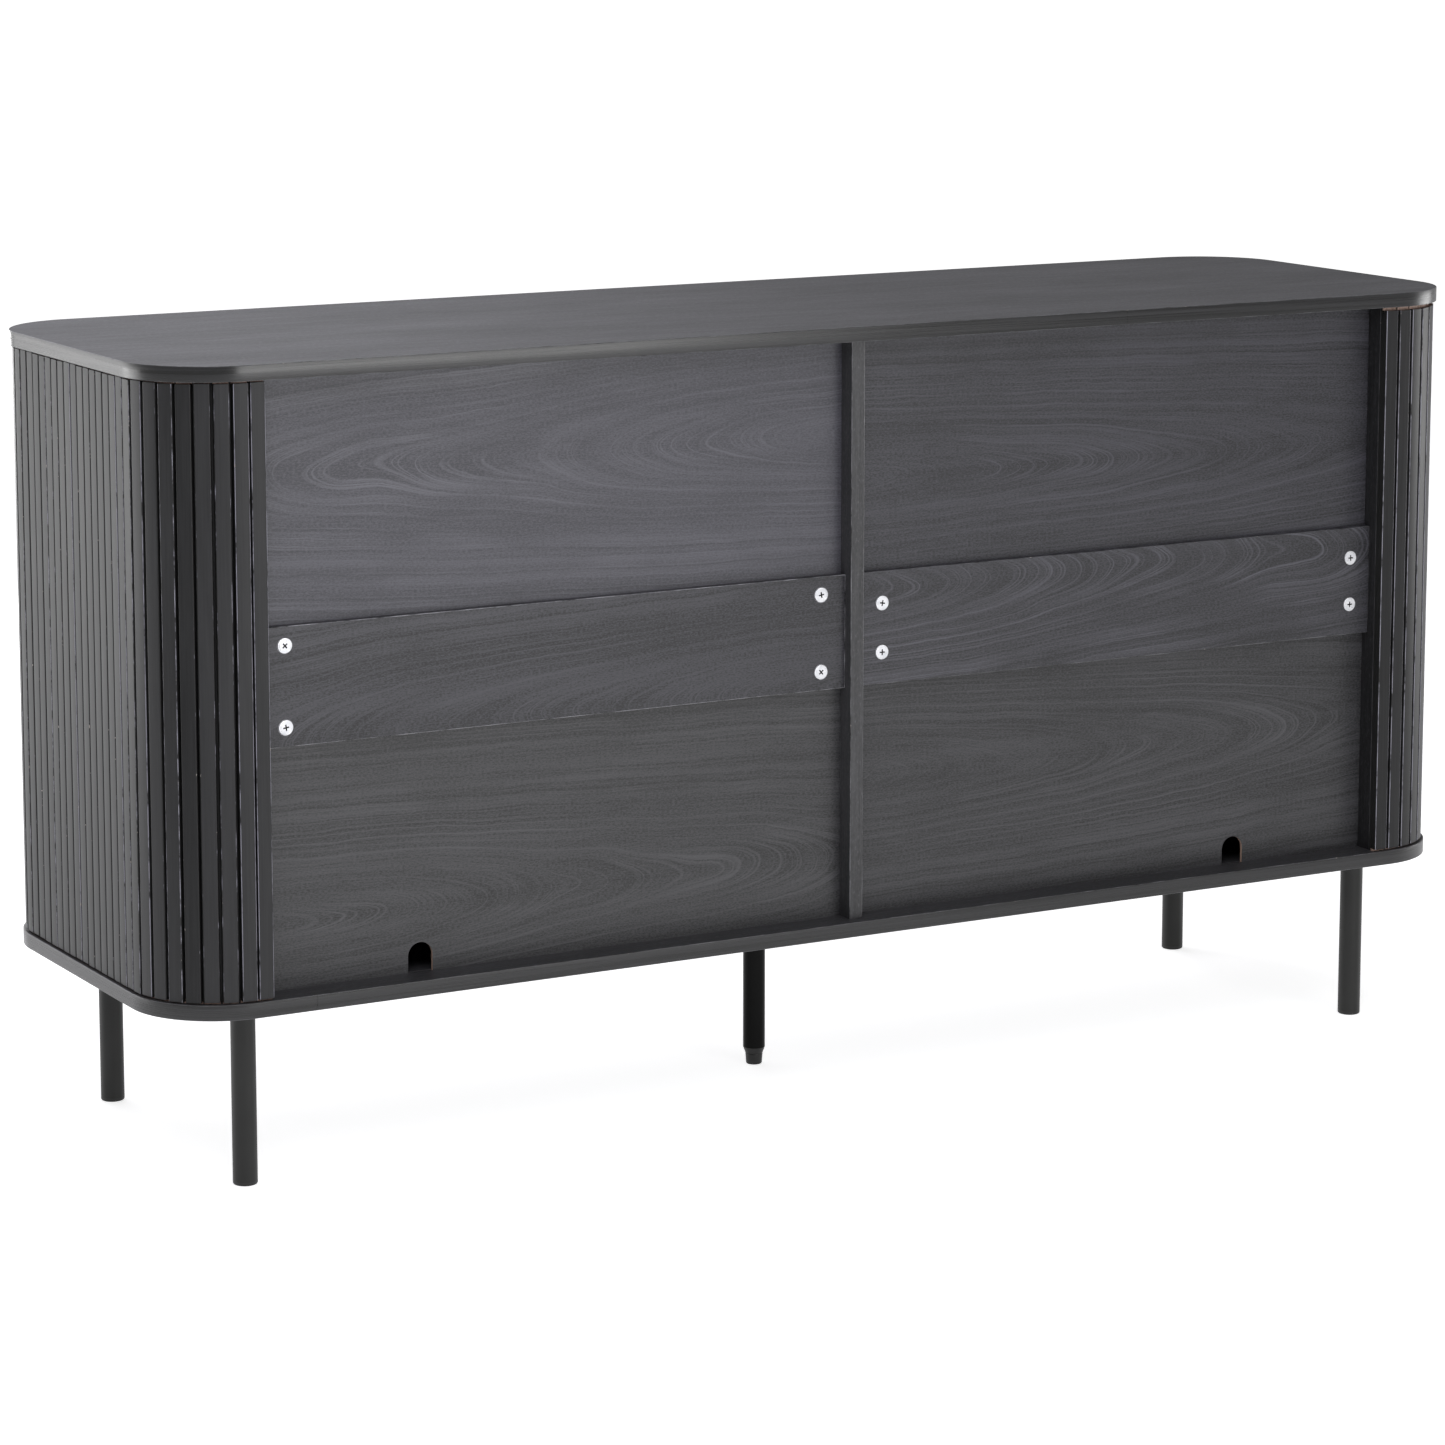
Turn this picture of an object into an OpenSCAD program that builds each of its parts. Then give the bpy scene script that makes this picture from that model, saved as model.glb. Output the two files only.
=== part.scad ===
// Sideboard buffet: rounded boards, slatted ends, two slatted sliding doors, round legs.
// Millimetres. +Z up, front towards -Y, left and right as seen from the front.
// The origin is on the floor, under the middle of the cabinet.

/* [Cabinet] */
// Overall width of the top and bottom boards
body_w = 1500; // [1300:10:1800]
// Overall depth of the top and bottom boards
body_d = 450; // [430:5:500]
// Clear height between the bottom board and the top board
inner_h = 586; // [520:2:640]
// Thickness of every board and upright panel
board_t = 15; // [15:1:18]
// Plan radius of the four rounded corners
corner_r = 90; // [80:5:100]
// Height of the underside above the floor
leg_h = 176; // [150:2:200]

/* [Slatted ends] */
// How far the slat faces stand in from the edge of the boards
clad_inset = 3; // [2:1:5]
// Thickness of one slat
slat_t = 8; // [7:0.5:9]
// Width of one slat
slat_w = 14.9; // [14.5:0.1:15.8]
// Number of slats that wrap each end of the cabinet
end_slats = 34; // [34:1:35]
// Thickness of the bendable sheet that the slats are glued to
backing_t = 2; // [1.5:0.5:2]
// Length of the straight run of slats on the front and on the back
clad_return = 18.5; // [16:0.5:20]

/* [Back] */
// Height of the mid rail across each bay
rail_h = 115; // [110:1:130]
// Distance of the rails' back face from the boards' back edge
rail_recess = 25; // [24:1:27]
// Distance of the back sheets from the boards' back edge
sheet_recess = 34; // [33:1:35]
// Width of the arched cable holes
cable_w = 26; // [20:1:40]
// Height of the arched cable holes above the bottom board
cable_h = 29; // [22:1:45]
// Distance of each cable hole from the middle of the cabinet
cable_x = 476; // [300:1:540]

/* [Legs] */
// Diameter of the four corner legs
leg_d = 24; // [20:1:30]
// Distance of the corner legs from the middle, along the width
leg_x = 652; // [600:1:660]
// Distance of the corner legs from the middle, along the depth
leg_y = 168; // [150:1:175]
// Diameter of the centre leg's tube
centre_leg_d = 23; // [20:1:26]
// Place of the centre leg along the width
centre_leg_x = 15; // [-20:1:20]
// Place of the centre leg along the depth
centre_leg_y = 30; // [-40:1:40]

/* [Doors] */
// Width of each sliding door
door_w = 656; // [640:1:664]
// Thickness of each door's panel
door_t = 12; // [12:1:13]
// Number of slats on each door
door_slats = 40; // [40:1:41]
// Height of each finger pull
pull_h = 140; // [100:5:200]
// Diameter of the doors' rollers
roller_d = 18; // [16:1:18]

/* [Hidden] */

$fn = 64;
eps = 0.01;

// Levels
floor_z = leg_h + board_t;          // top face of the bottom board
ceil_z = floor_z + inner_h;         // underside of the top board
total_h = ceil_z + board_t;
mid_z = (floor_z + ceil_z) / 2;
groove_h = 5;                       // depth of every groove in the boards
groove_play = 0.2;                  // clearance on each side of a grooved piece

// Wrapped slats: the back line is where the slats meet their backing sheet
back_line = clad_inset + slat_t;
arc_r = corner_r - back_line;
end_run = body_d - 2 * corner_r;
wrap_len = 2 * clad_return + PI * arc_r + end_run;
end_pitch = wrap_len / end_slats;
clad_x = body_w / 2 - corner_r - clad_return;   // where the wrapped slats stop
slat_gap = 1.5;                     // gap between the slat ends and the boards
gap_above = [4, 1.5];               // the same above the left end's slats and the right end's
tongue_t = 3;                       // thickness of the slats' tongues
tongue_h = 4.5;                     // how far the tongues reach into the boards
arris = 0.7;                        // rounding of the slats' long edges

// Uprights
panel_x = clad_x;                   // inner face of each side panel
panel_y = body_d / 2 - back_line - backing_t - 0.5;
divider_back_y = body_d / 2 - 14;
upright_centres = [-panel_x - board_t / 2, 0, panel_x + board_t / 2];

// Doors: the right door runs in the front track, the left one in the rear track
plane_front = -(body_d / 2 - clad_inset);       // slat face of the right door
plane_gap = 4;                                  // clearance between the two doors
door_depth = slat_t + door_t;
plane_rear = plane_front + door_depth + plane_gap;
door_z0 = floor_z + 3.5;
door_z1 = ceil_z - 3.5;
door_end_x = panel_x - 2;                       // outer end of each closed door
door_pitch = door_w / door_slats;
door_slat_z0 = floor_z + 2.5;
door_slat_z1 = ceil_z - 1.5;
divider_front_y = plane_rear + door_depth + 4;

// Door tracks: a plastic strip with two channels, let into each board
track_base = 1.5;
track_rib = 2;
channel_w = 6;
track_rib_h = groove_h + 1.5 - track_base;
track_centres = [plane_front + slat_t + door_t / 2, plane_rear + slat_t + door_t / 2];
track_y0 = track_centres[0] - channel_w / 2 - track_rib;
track_y1 = track_centres[1] + channel_w / 2 + track_rib;
track_screw_x = [-600, -300, 0, 300, 600];

// Rollers and guides
roller_w = 4;
roller_z = floor_z - groove_h + track_base + 0.3 + roller_d / 2;
axle_d = 3;
housing = [40, 8, 23];
housing_z0 = floor_z + 2.2;
housing_inset = 60;                 // from each end of the door
guide = [40, 5, 20];

// Finger pulls: they take the place of two slats
pull_first = 2;                     // slats between the door's outer end and the pull
pull_w = 2 * door_pitch - 1.2;
pull_wall = 1.5;
pull_depth = slat_t + 8.5;

// Back
sheet_t = 3;
sheet_y1 = body_d / 2 - sheet_recess;
sheet_y0 = sheet_y1 - sheet_t;
sheet_in = 4.5;                     // how far the sheets reach into boards and panels
rail_sheet_in = 7;                  // how far they reach into the rails
rail_y1 = body_d / 2 - rail_recess;
rail_y0 = rail_y1 - board_t;
rail_z0 = mid_z - rail_h / 2;
rail_z1 = mid_z + rail_h / 2;

// Connectors
cam_d = 15;
cam_h = 12;
cross_w = 5.6;                      // width of the driver's cross in a cam's face
bolt_depth = 10;                    // depth of the connector bolts in the face they screw into
rail_cam_side = 24.5;               // cam centre to the side panel
rail_cam_divider = 28;              // cam centre to the divider
rail_cam_dz = [25, 39];             // half spacing on the left rail, then on the right rail
panel_cam_dz = 34;
panel_cam_y = [-110, 120];
dowel_d = 8;
dowel_len = 30;
dowel_in = 10.5;                    // part of each dowel that is in the board
dowel_y = [-60, 60];

// Shelves
shelf_front_y = divider_front_y + 6;
shelf_back_y = sheet_y0 - 4.5;
shelf_gap = 1;
pin_d = 5;
pin_len = 16;
pin_y = [-120, 130];
pin_rows = [-64, 0, 64];
pin_z = mid_z - board_t / 2 - pin_d / 2 - 0.05;

// Legs
plate_t = 2.5;
plate_w = 54;
plate_hole = 20;
leg_top = leg_h - plate_t;
leg_wall = 1.5;
glide_h = 4;
glide_round = 2;                    // rounding of the glides' lower edge
leg_corners = [[-1, -1], [1, -1], [-1, 1], [1, 1]];
plate_places = concat([for (c = leg_corners) [c[0] * leg_x, c[1] * leg_y]],
    [[centre_leg_x, centre_leg_y]]);
foot_h = 11.5;
cap_h = 6.5;
cap_z0 = foot_h + 0.3;
stud_d = 7.9;

// Colours
board_colour = [0.20, 0.20, 0.21];
slat_colour = [0.17, 0.17, 0.18];
sheet_colour = [0.24, 0.24, 0.26];
leg_colour = [0.15, 0.16, 0.17];
black_plastic = [0.08, 0.08, 0.09];
zinc = [0.78, 0.78, 0.80];
beech = [0.80, 0.68, 0.50];

// ---------- shared shapes ----------

// A rectangle with round corners, set in from the board's outline by "inset"
module outline(inset = 0) {
    w = body_w - 2 * inset;
    d = body_d - 2 * inset;
    r = corner_r - inset;
    square([w - 2 * r, d], center = true);
    square([w, d - 2 * r], center = true);
    for (sx = [-1, 1], sy = [-1, 1])
        translate([sx * (w / 2 - r), sy * (d / 2 - r)]) circle(r);
}

// The band between two insets of the outline, on one end of the cabinet only
module wrap_band(outer, inner, side, from_x) {
    intersection() {
        difference() {
            outline(outer);
            outline(inner);
        }
        translate([side > 0 ? from_x : -from_x - body_w, -body_d])
            square([body_w, 2 * body_d]);
    }
}

// A box given by its lowest and highest corners
module block(low, high) translate(low) cube(high - low);

// A box on the right-hand side, mirrored to the left when side is -1
module sided(side) if (side > 0) children(); else mirror([1, 0, 0]) children();

// ---------- boards ----------

module wrap_grooves(z0) {
    outer = back_line - tongue_t - 0.7;
    for (side = [-1, 1])
        translate([0, 0, z0]) linear_extrude(groove_h + eps)
            wrap_band(outer, back_line + 0.3, side, clad_x - 0.5);
}

module sheet_groove(z0) {
    for (side = [-1, 1]) sided(side)
        block([board_t / 2 - 5, sheet_y0 - groove_play, z0],
            [panel_x + 5, sheet_y1 + groove_play, z0 + groove_h + eps]);
}

module track_groove(z0) {
    block([-panel_x, track_y0 - groove_play, z0],
        [panel_x, track_y1 + groove_play, z0 + groove_h + eps]);
}

// Holes that the uprights' bolts and dowels need in a board; "up" is 1 in the top board
module upright_holes(z0, up) {
    for (x = upright_centres) {
        for (y = panel_cam_y) translate([x, y, z0]) mirror([0, 0, up ? 0 : 1])
            translate([0, 0, -eps]) cylinder(h = bolt_depth + 0.5, d = 5, $fn = 32);
        for (y = dowel_y) translate([x, y, z0]) mirror([0, 0, up ? 0 : 1])
            translate([0, 0, -eps]) cylinder(h = dowel_in + 0.5, d = dowel_d, $fn = 32);
    }
}

module track_screw_holes(z0, up) {
    for (x = track_screw_x) translate([x, (track_y0 + track_y1) / 2, z0])
        mirror([0, 0, up ? 0 : 1]) translate([0, 0, -eps]) cylinder(h = 8, d = 3, $fn = 32);
}

module top_board() color(board_colour) difference() {
    translate([0, 0, ceil_z]) linear_extrude(board_t) outline(1);
    wrap_grooves(ceil_z - eps);
    sheet_groove(ceil_z - eps);
    track_groove(ceil_z - eps);
    upright_holes(ceil_z, true);
    track_screw_holes(ceil_z + groove_h, true);
}

module top_edge_band() color(board_colour) edge_band(ceil_z);

module edge_band(z0) translate([0, 0, z0]) linear_extrude(board_t) difference() {
    outline(0);
    outline(1);
}

module bottom_board() color(board_colour) difference() {
    translate([0, 0, leg_h]) linear_extrude(board_t) outline(1);
    wrap_grooves(floor_z - groove_h);
    sheet_groove(floor_z - groove_h);
    track_groove(floor_z - groove_h);
    upright_holes(floor_z, false);
    track_screw_holes(floor_z - groove_h, false);
    for (p = plate_places) translate([p[0], p[1], leg_h - eps]) {
        cylinder(h = 8.5, d = 9, $fn = 32);
        for (sx = [-1, 1], sy = [-1, 1])
            translate([sx * plate_hole, sy * plate_hole, 0]) cylinder(h = 8, d = 4, $fn = 24);
    }
}

module bottom_edge_band() color(board_colour) edge_band(leg_h);

// ---------- uprights ----------

// Pocket for a cam lock, opening along +Z at the origin
module cam_pocket() translate([0, 0, -cam_h - 0.3])
    cylinder(h = cam_h + 0.3 + eps, d = cam_d, $fn = 48);

// Cam pockets, bolt bores and dowel bores at both ends of an upright.
// "x0" is its centre plane and "face" the side that the cams are let into.
module upright_fittings(x0, face) {
    for (top = [0, 1]) {
        z_end = top == 1 ? ceil_z : floor_z;
        dir = top == 1 ? -1 : 1;
        for (y = panel_cam_y) {
            translate([x0 + face * board_t / 2, y, z_end + dir * panel_cam_dz])
                rotate([0, 90 * face, 0]) cam_pocket();
            translate([x0, y, z_end]) mirror([0, 0, dir > 0 ? 0 : 1])
                translate([0, 0, -eps]) cylinder(h = panel_cam_dz, d = 8, $fn = 32);
        }
        for (y = dowel_y) translate([x0, y, z_end]) mirror([0, 0, dir > 0 ? 0 : 1])
            translate([0, 0, -eps])
                cylinder(h = dowel_len - dowel_in + 1, d = dowel_d, $fn = 32);
    }
}

// Holes in the face of an upright at "x" that looks towards "dir"
module face_holes(x, dir, cam_dz) {
    for (y = pin_y, row = pin_rows)
        translate([x + dir * eps, y, pin_z + row]) rotate([0, -90 * dir, 0])
            cylinder(h = 7.2, d = pin_d, $fn = 32);
    for (s = [-1, 1])
        translate([x + dir * eps, rail_y0 + board_t / 2, mid_z + s * cam_dz])
            rotate([0, -90 * dir, 0]) cylinder(h = bolt_depth + 0.5, d = 5, $fn = 32);
}

// Grooves for the two back sheets in the face at "x" that looks towards "dir"
module face_grooves(x, dir) {
    x0 = dir > 0 ? x - 5 : x - eps;
    for (z = [[floor_z - 1, rail_z0 + rail_sheet_in + 0.5],
              [rail_z1 - rail_sheet_in - 0.5, ceil_z + 1]])
        block([x0, sheet_y0 - groove_play, z[0]], [x0 + 5 + eps, sheet_y1 + groove_play, z[1]]);
}

module side_panel(side) {
    inner = side * panel_x;
    outer = side * (panel_x + board_t);
    color(board_colour) difference() {
        block([min(inner, outer), -panel_y, floor_z], [max(inner, outer), panel_y, ceil_z]);
        upright_fittings((inner + outer) / 2, -side);
        face_holes(inner, -side, side > 0 ? rail_cam_dz[1] : rail_cam_dz[0]);
        face_grooves(inner, -side);
    }
}
module side_panel_left() side_panel(-1);
module side_panel_right() side_panel(1);

module centre_divider() color(board_colour) difference() {
    block([-board_t / 2, divider_front_y, floor_z], [board_t / 2, divider_back_y, ceil_z]);
    upright_fittings(0, 1);
    for (dir = [-1, 1]) {
        face_holes(dir * board_t / 2, dir, dir > 0 ? rail_cam_dz[1] : rail_cam_dz[0]);
        face_grooves(dir * board_t / 2, dir);
    }
}

// ---------- back ----------

module back_sheet(side, upper) {
    z = upper ? [rail_z1 - rail_sheet_in, ceil_z + sheet_in]
              : [floor_z - sheet_in, rail_z0 + rail_sheet_in];
    color(sheet_colour) difference() {
        sided(side) block([board_t / 2 - sheet_in, sheet_y0, z[0]],
            [panel_x + sheet_in, sheet_y1, z[1]]);
        if (!upper) translate([side * cable_x, sheet_y1 + 1, 0]) rotate([90, 0, 0]) {
            translate([0, floor_z + cable_h - cable_w / 2, 0])
                cylinder(h = sheet_t + 2, d = cable_w, $fn = 64);
            translate([-cable_w / 2, floor_z - sheet_in - 1, 0])
                cube([cable_w, cable_h - cable_w / 2 + sheet_in + 1, sheet_t + 2]);
        }
    }
}
module back_sheet_upper_left() back_sheet(-1, true);
module back_sheet_upper_right() back_sheet(1, true);
module back_sheet_lower_left() back_sheet(-1, false);
module back_sheet_lower_right() back_sheet(1, false);

// Where the rail cams are along the width, measured from the middle, with the
// direction from each one to the upright it pulls against
rail_cams = [[board_t / 2 + rail_cam_divider, -1], [panel_x - rail_cam_side, 1]];

module back_rail(side) {
    dz = side > 0 ? rail_cam_dz[1] : rail_cam_dz[0];
    color(board_colour) difference() {
        sided(side) block([board_t / 2, rail_y0, rail_z0], [panel_x, rail_y1, rail_z1]);
        sided(side) for (z = [rail_z0 - eps, rail_z1 - 8])
            block([board_t / 2 - 1, sheet_y0 - groove_play, z],
                [panel_x + 1, sheet_y1 + groove_play, z + 8 + eps]);
        for (c = rail_cams, s = [-1, 1]) sided(side) translate([c[0], rail_y1, mid_z + s * dz]) {
            rotate([-90, 0, 0]) cam_pocket();
            reach = c[1] > 0 ? rail_cam_side : rail_cam_divider;
            translate([0, -board_t / 2, 0]) rotate([0, 90 * c[1], 0])
                cylinder(h = reach + 1, d = 8, $fn = 32);
        }
    }
}
module back_rail_left() back_rail(-1);
module back_rail_right() back_rail(1);

// ---------- connectors ----------

// A cam lock's face is at the origin and looks along +Z; its mouth looks along +X
module cam_lock() difference() {
    translate([0, 0, -cam_h]) cylinder(h = cam_h - 0.3, d = cam_d - 0.3, $fn = 48);
    for (a = [0, 90]) rotate([0, 0, a]) translate([-cross_w / 2, -0.6, -2])
        cube([cross_w, 1.2, 3]);
    translate([0, 0, -board_t / 2]) rotate([0, 90, 0]) cylinder(h = cam_d, d = 7, $fn = 32);
    translate([0, 0, -board_t / 2]) rotate([0, -90, 0]) cylinder(h = 4, d = 7, $fn = 32);
}

// A connector bolt runs along +X: threaded below x = 0, its head at x = reach
module cam_bolt(reach) rotate([0, 90, 0]) {
    translate([0, 0, -bolt_depth]) cylinder(h = bolt_depth + eps, d = 4.9, $fn = 32);
    cylinder(h = reach - 9, d = 7, $fn = 32);
    translate([0, 0, reach - 9 - eps]) cylinder(h = 8, d = 3.6, $fn = 32);
    translate([0, 0, reach - 1.5]) cylinder(h = 3.5, d = 6.2, $fn = 32);
}

module rail_cam_locks() color(zinc) for (side = [-1, 1], c = rail_cams, s = [-1, 1]) {
    dz = side > 0 ? rail_cam_dz[1] : rail_cam_dz[0];
    translate([side * c[0], rail_y1, mid_z + s * dz]) rotate([-90, 0, 0])
        rotate([0, 0, side * c[1] > 0 ? 0 : 180]) cam_lock();
}

module rail_cam_bolts() color(zinc) for (side = [-1, 1], c = rail_cams, s = [-1, 1]) {
    dz = side > 0 ? rail_cam_dz[1] : rail_cam_dz[0];
    reach = c[1] > 0 ? rail_cam_side : rail_cam_divider;
    translate([side * (c[0] + c[1] * reach), rail_y0 + board_t / 2, mid_z + s * dz])
        rotate([0, 0, side * c[1] > 0 ? 180 : 0]) cam_bolt(reach);
}

// Centre plane of each upright, with the side that its cams are let into
uprights = [[-panel_x - board_t / 2, 1], [0, 1], [panel_x + board_t / 2, -1]];

module panel_cam_locks() color(zinc) for (u = uprights, y = panel_cam_y, top = [0, 1]) {
    z = top == 1 ? ceil_z - panel_cam_dz : floor_z + panel_cam_dz;
    towards_board = top == 1 ? 1 : -1;
    translate([u[0] + u[1] * board_t / 2, y, z]) rotate([0, 90 * u[1], 0])
        rotate([0, 0, u[1] * towards_board > 0 ? 180 : 0]) cam_lock();
}

module panel_cam_bolts() color(zinc) for (u = uprights, y = panel_cam_y, top = [0, 1])
    translate([u[0], y, top == 1 ? ceil_z : floor_z])
        rotate([0, top == 1 ? 90 : -90, 0]) cam_bolt(panel_cam_dz);

module wood_dowels() color(beech) for (x = upright_centres, y = dowel_y, top = [0, 1])
    translate([x, y, top == 1 ? ceil_z - dowel_len + dowel_in : floor_z - dowel_in])
        cylinder(h = dowel_len, d = dowel_d - 0.1, $fn = 32);

// ---------- slats ----------

// Place and outward angle on the back line, "s" along it from the rear end of the
// right-hand wrap to its front end
arc_len = arc_r * PI / 2;
function wrap_angle(s) =
    s < clad_return ? 90 :
    s < clad_return + arc_len ? 90 - (s - clad_return) / arc_r * 180 / PI :
    s < clad_return + arc_len + end_run ? 0 :
    s < clad_return + 2 * arc_len + end_run ?
        -(s - clad_return - arc_len - end_run) / arc_r * 180 / PI : -90;
function wrap_place(s) =
    let (cx = body_w / 2 - corner_r, cy = body_d / 2 - corner_r, a = wrap_angle(s))
    s < clad_return ? [clad_x + s, body_d / 2 - back_line] :
    s < clad_return + arc_len ? [cx + arc_r * cos(a), cy + arc_r * sin(a)] :
    s < clad_return + arc_len + end_run ?
        [body_w / 2 - back_line, cy - (s - clad_return - arc_len)] :
    s < clad_return + 2 * arc_len + end_run ? [cx + arc_r * cos(a), -cy + arc_r * sin(a)] :
        [wrap_len - s + clad_x, -(body_d / 2 - back_line)];

// Section of a slat: its back is on x = 0 and its face looks along +X
function rounded_edge(x, y, from) =
    [for (a = [0, 30, 60, 90]) [x + arris * cos(from + a), y + arris * sin(from + a)]];
module slat_section(w) polygon(concat([[0, w / 2], [0, -w / 2]],
    rounded_edge(slat_t - arris, -w / 2 + arris, -90),
    rounded_edge(slat_t - arris, w / 2 - arris, 0)));

module end_slat(above) {
    translate([0, 0, floor_z + slat_gap]) linear_extrude(inner_h - slat_gap - above)
        slat_section(slat_w);
    block([0, -slat_w / 2, floor_z - tongue_h], [tongue_t, slat_w / 2, ceil_z + tongue_h]);
}

module end_slats(side) color(slat_colour) sided(side) for (i = [0 : end_slats - 1]) {
    s = (i + 0.5) * end_pitch;
    p = wrap_place(s);
    translate([p[0], p[1], 0]) rotate([0, 0, wrap_angle(s)])
        end_slat(gap_above[side > 0 ? 1 : 0]);
}
module end_slats_left() end_slats(-1);
module end_slats_right() end_slats(1);

module end_backing(side) color(black_plastic)
    translate([0, 0, floor_z + 0.5]) linear_extrude(inner_h - 1)
        wrap_band(back_line + 0.02, back_line + backing_t, side, clad_x);
module end_backing_left() end_backing(-1);
module end_backing_right() end_backing(1);

// ---------- shelves ----------

module shelf(side) color(board_colour) sided(side)
    block([board_t / 2 + shelf_gap, shelf_front_y, mid_z - board_t / 2],
        [panel_x - shelf_gap, shelf_back_y, mid_z + board_t / 2]);
module shelf_left() shelf(-1);
module shelf_right() shelf(1);

module shelf_pins() color(zinc)
    for (side = [-1, 1], y = pin_y, at = [[board_t / 2, 1], [panel_x, -1]])
        translate([side * (at[0] - at[1] * 7), y, pin_z]) rotate([0, 90 * side * at[1], 0])
            cylinder(h = pin_len, d = pin_d - 0.1, $fn = 32);

// ---------- legs ----------

module tube(d, z0, z1) difference() {
    translate([0, 0, z0]) cylinder(h = z1 - z0, d = d);
    translate([0, 0, z0 - 1]) cylinder(h = z1 - z0 - 2, d = d - 2 * leg_wall);
    translate([0, 0, z1 - 4]) cylinder(h = 5, d = 8.1, $fn = 32);
}

module corner_leg(c) color(leg_colour)
    translate([c[0] * leg_x, c[1] * leg_y, 0]) tube(leg_d, glide_h, leg_top);
module leg_front_left() corner_leg([-1, -1]);
module leg_front_right() corner_leg([1, -1]);
module leg_back_left() corner_leg([-1, 1]);
module leg_back_right() corner_leg([1, 1]);

// A plastic glide closes each corner leg; its lower edge is rounded
module leg_glides() color(black_plastic) for (c = leg_corners)
    translate([c[0] * leg_x, c[1] * leg_y, 0]) {
        r = leg_d / 2;
        rotate_extrude() {
            square([r - glide_round, glide_h]);
            translate([0, glide_round]) square([r, glide_h - glide_round]);
            translate([r - glide_round, glide_round]) circle(glide_round, $fn = 32);
        }
        translate([0, 0, glide_h - eps]) cylinder(h = 12, r = r - leg_wall - 0.1);
    }

module leg_plates() color(zinc) for (p = plate_places)
    translate([p[0], p[1], leg_top]) difference() {
        translate([-plate_w / 2, -plate_w / 2, 0]) cube([plate_w, plate_w, plate_t]);
        translate([0, 0, -1]) cylinder(h = plate_t + 2, d = 8.1, $fn = 32);
        for (sx = [-1, 1], sy = [-1, 1])
            translate([sx * plate_hole, sy * plate_hole, -1])
                cylinder(h = plate_t + 2, d = 4.4, $fn = 24);
    }

module leg_studs() color(zinc) for (p = plate_places)
    translate([p[0], p[1], leg_top - 10]) cylinder(h = 20, d = 8, $fn = 32);

module leg_plate_screws() color(zinc)
    for (p = plate_places, sx = [-1, 1], sy = [-1, 1])
        translate([p[0] + sx * plate_hole, p[1] + sy * plate_hole, leg_top]) {
            translate([0, 0, -2]) cylinder(h = 2, d = 7.5, $fn = 24);
            translate([0, 0, -eps]) cylinder(h = 9.5, d = 3.9, $fn = 24);
        }

module at_centre_leg() translate([centre_leg_x, centre_leg_y, 0]) children();

module centre_leg_tube() color(leg_colour)
    at_centre_leg() tube(centre_leg_d, cap_z0 + cap_h, leg_top);

// The cap closes the tube, tapers below it and holds the leveller's thread
module centre_leg_cap() color(black_plastic) at_centre_leg() difference() {
    rotate_extrude() {
        polygon([[0, cap_z0], [9.1, cap_z0], [centre_leg_d / 2, cap_z0 + cap_h],
            [0, cap_z0 + cap_h]]);
        translate([0, cap_z0 + cap_h - eps]) square([centre_leg_d / 2 - leg_wall - 0.1, 22]);
    }
    translate([0, 0, cap_z0 - 1]) cylinder(h = 40, d = 8, $fn = 48);
}

module leveller_foot() color(black_plastic) at_centre_leg() {
    rotate_extrude() polygon([[0, 0], [7.6, 0], [8.3, 1.2], [9.1, foot_h], [0, foot_h]]);
    translate([0, 0, foot_h - eps]) cylinder(h = 22, d = stud_d, $fn = 48);
}

// ---------- door tracks ----------

module track(z0, up) translate([0, 0, z0]) mirror([0, 0, up ? 1 : 0]) difference() {
    union() {
        block([-panel_x + 0.5, track_y0, 0], [panel_x - 0.5, track_y1, track_base]);
        for (y = track_centres, s = [-1, 1])
            translate([-panel_x + 0.5, y + s * (channel_w + track_rib) / 2 - track_rib / 2, 0])
                cube([2 * panel_x - 1, track_rib, track_base + track_rib_h]);
    }
    for (x = track_screw_x) translate([x, (track_y0 + track_y1) / 2, -1])
        cylinder(h = track_base + 2, d = 3.4, $fn = 24);
}
module door_track_bottom() color(black_plastic) track(floor_z - groove_h, false);
module door_track_top() color(black_plastic) track(ceil_z + groove_h, true);

module track_screws() color(zinc) for (x = track_screw_x, top = [0, 1])
    translate([x, (track_y0 + track_y1) / 2,
        top == 1 ? ceil_z + groove_h - track_base : floor_z - groove_h + track_base])
        mirror([0, 0, top]) {
            cylinder(h = 1.3, d = 6, $fn = 24);
            translate([0, 0, -8]) cylinder(h = 8 + eps, d = 2.9, $fn = 24);
        }

module door_bumpers() color(black_plastic)
    for (side = [-1, 1], y = track_centres, z = [floor_z + 60, ceil_z - 60])
        translate([side * panel_x, y, z]) rotate([0, -90 * side, 0])
            cylinder(h = 1.4, d = 8, $fn = 32);

// ---------- doors ----------

function door_face(side) = side > 0 ? plane_front : plane_rear;
function door_centre_y(side) = door_face(side) + slat_t + door_t / 2;

// Centres of a door's two rollers and two guides, from its outer end inwards
fitting_x = [door_end_x - housing_inset, door_end_x - door_w + housing_inset];
pull_x1 = door_end_x - pull_first * door_pitch - 0.6;
pull_z0 = mid_z - pull_h / 2;
pull_z1 = mid_z + pull_h / 2;

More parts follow.
